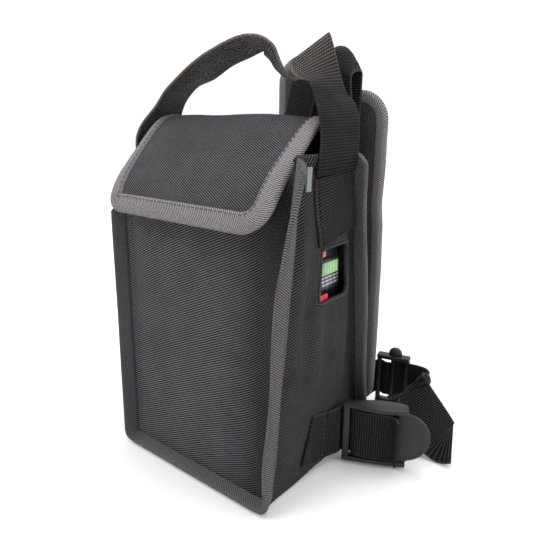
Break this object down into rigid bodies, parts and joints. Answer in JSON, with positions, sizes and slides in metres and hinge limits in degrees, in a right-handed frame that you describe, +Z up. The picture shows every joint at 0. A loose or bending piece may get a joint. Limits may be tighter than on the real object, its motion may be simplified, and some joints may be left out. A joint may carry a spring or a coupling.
{
  "type": "battery pack in carry bag",
  "caption": "Rechargeable battery pack in a small black fabric carry bag with lid flap, carrying strap and padded shoulder straps.",
  "frame": {"origin": "centre of the bag's base, on the surface it stands on", "axes": "+Z up; the front panel faces -Y; +X is the side with the gauge window"},
  "size_m": [0.2958, 0.2117, 0.329],
  "materials": {
    "nylon": "ballistic weave",
    "binding_tape": "twill tape",
    "webbing": "ribbed webbing",
    "hook_and_loop": "matte",
    "foam": "matte",
    "base_board": "matte",
    "case_plastic": "textured",
    "buckle_plastic": "moulded",
    "cell_foil": "satin",
    "circuit_board": "satin",
    "gauge_screen": "printed",
    "gauge_lens": "clear",
    "lamp_red": "gloss",
    "screw_steel": "satin"
  },
  "bodies": {
    "bag": {"front_panel": "nylon", "back_panel": "nylon", "left_side_panel": "nylon", "right_side_panel": "nylon", "base_panel": "nylon", "front_binding": "binding_tape", "back_binding": "binding_tape", "base_board": "base_board", "back_foam": "foam", "front_loop_patch": "hook_and_loop", "side_loop_patch": "hook_and_loop", "carry_strap": "webbing", "carry_strap_end_left": "webbing", "carry_strap_end_right": "webbing", "left_lower_tab": "webbing", "right_lower_tab": "webbing", "left_strap_loop": "webbing", "right_strap_loop": "webbing", "left_adjuster_webbing": "webbing", "right_adjuster_webbing": "webbing"},
    "lid": {"lid_panel": "nylon", "lid_binding": "binding_tape", "lid_hook_patch": "hook_and_loop"},
    "battery": {"battery_case": "case_plastic", "battery_cap": "case_plastic", "power_socket": "case_plastic", "gauge_housing": "case_plastic", "gauge_screen": "gauge_screen", "gauge_lens": "gauge_lens", "gauge_lamp_upper": "lamp_red", "gauge_lamp_lower": "lamp_red", "protection_board": "circuit_board", "cell_1": "cell_foil", "cell_2": "cell_foil", "cell_3": "cell_foil", "cell_4": "cell_foil", "cell_5": "cell_foil", "cell_6": "cell_foil", "cap_screw_1": "screw_steel", "cap_screw_2": "screw_steel", "cap_screw_3": "screw_steel", "cap_screw_4": "screw_steel"},
    "left_strap": {"left_pad": "nylon", "left_pad_binding": "binding_tape", "left_pad_webbing": "webbing", "left_foot_webbing": "webbing", "left_strap_slider": "buckle_plastic"},
    "left_buckle": {"left_ladder_lock": "buckle_plastic", "left_adjuster_wrap": "webbing", "left_adjuster_tail": "webbing"},
    "right_strap": {"right_pad": "nylon", "right_pad_binding": "binding_tape", "right_pad_webbing": "webbing", "right_foot_webbing": "webbing", "right_strap_slider": "buckle_plastic"},
    "right_buckle": {"right_ladder_lock": "buckle_plastic", "right_adjuster_wrap": "webbing", "right_adjuster_tail": "webbing"}
  },
  "joints": [
    {"name": "lid_open", "type": "hinge", "parent": "bag", "child": "lid", "pos_m": [0, 0.023, 0.25], "axis": [-1, 0, 0], "range_deg": [0, 110], "deforming": ["carry_strap"]},
    {"name": "battery_lift", "type": "slide", "parent": "bag", "child": "battery", "axis": [0, 0, 1], "range_m": [0, 0.02]},
    {"name": "right_strap_swing", "type": "hinge", "parent": "bag", "child": "right_strap", "pos_m": [0.042, 0.0727, 0.32], "axis": [1, 0, 0], "range_deg": [0, 15], "deforming": ["right_adjuster_webbing"]},
    {"name": "left_strap_swing", "type": "hinge", "parent": "bag", "child": "left_strap", "pos_m": [-0.007, 0.0907, 0.327], "axis": [1, 0, 0], "range_deg": [0, 15], "deforming": ["left_adjuster_webbing"]},
    {"name": "right_buckle_swing", "type": "hinge", "parent": "bag", "child": "right_buckle", "pos_m": [0.086, 0.024, 0.003], "axis": [0, 0, 1], "range_deg": [-10, 10]},
    {"name": "left_buckle_swing", "type": "hinge", "parent": "bag", "child": "left_buckle", "pos_m": [-0.086, 0.024, 0.003], "axis": [0, 0, -1], "range_deg": [-10, 10]}
  ]
}
